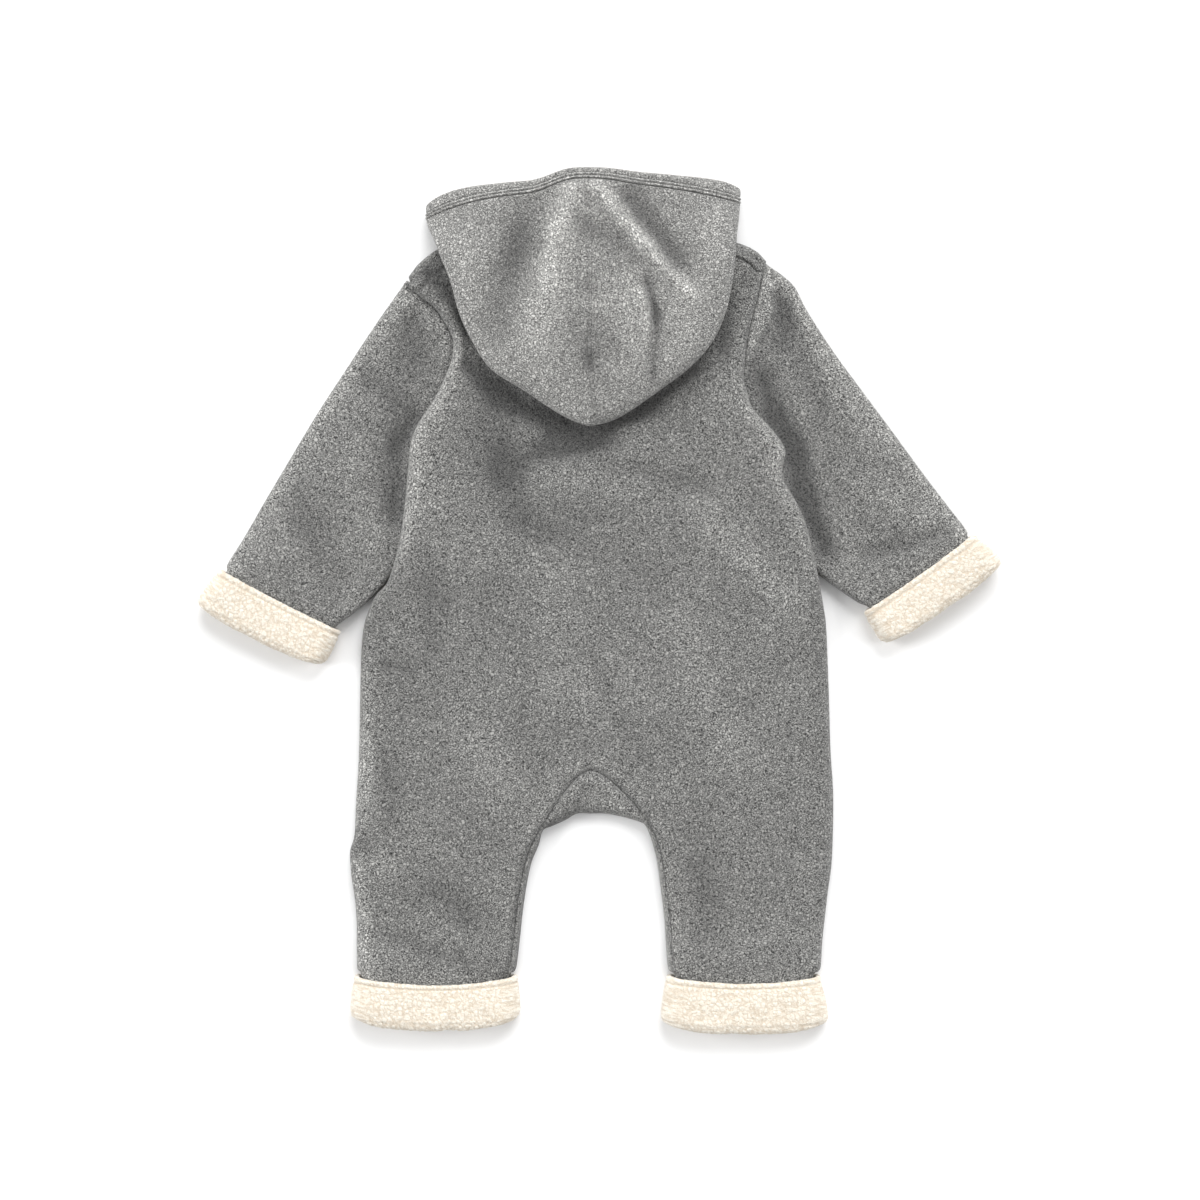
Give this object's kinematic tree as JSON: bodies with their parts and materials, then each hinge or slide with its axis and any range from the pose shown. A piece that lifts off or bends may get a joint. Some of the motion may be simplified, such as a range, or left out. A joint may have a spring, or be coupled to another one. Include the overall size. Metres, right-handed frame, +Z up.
{
  "type": "baby fleece overall",
  "caption": "Hooded fleece overall for a baby, laid flat on its front with the hood folded back, turned-up pile cuffs, a crotch gusset and a snapped front opening.",
  "frame": {"origin": "middle of the garment's box, on the flat surface it lies on", "axes": "+Y towards the head, +Z up from the surface through the front to the back, +X towards the wearer's right sleeve"},
  "size_m": [0.5771, 0.621, 0.0361],
  "materials": {
    "fleece": "matte pebbled fleece, mid grey",
    "hood_fleece": "the same fleece where it faces the light, a lighter grey",
    "pile": "matte curly pile, cream, the reverse of the fleece",
    "snap": "satin, grey"
  },
  "bodies": {
    "root": {"back_panel": "fleece", "front_left": "fleece", "front_right": "fleece", "gusset": "fleece", "placket": "fleece", "sleeve_left": "fleece", "sleeve_right": "fleece", "hood_left": "hood_fleece", "hood_right": "hood_fleece", "hood_binding": "hood_fleece", "leg_cuff_left": "pile", "leg_cuff_right": "pile", "sleeve_cuff_left": "pile", "sleeve_cuff_right": "pile", "snap_1": "snap", "snap_2": "snap", "snap_3": "snap", "snap_4": "snap", "snap_5": "snap"}
  },
  "joints": []
}
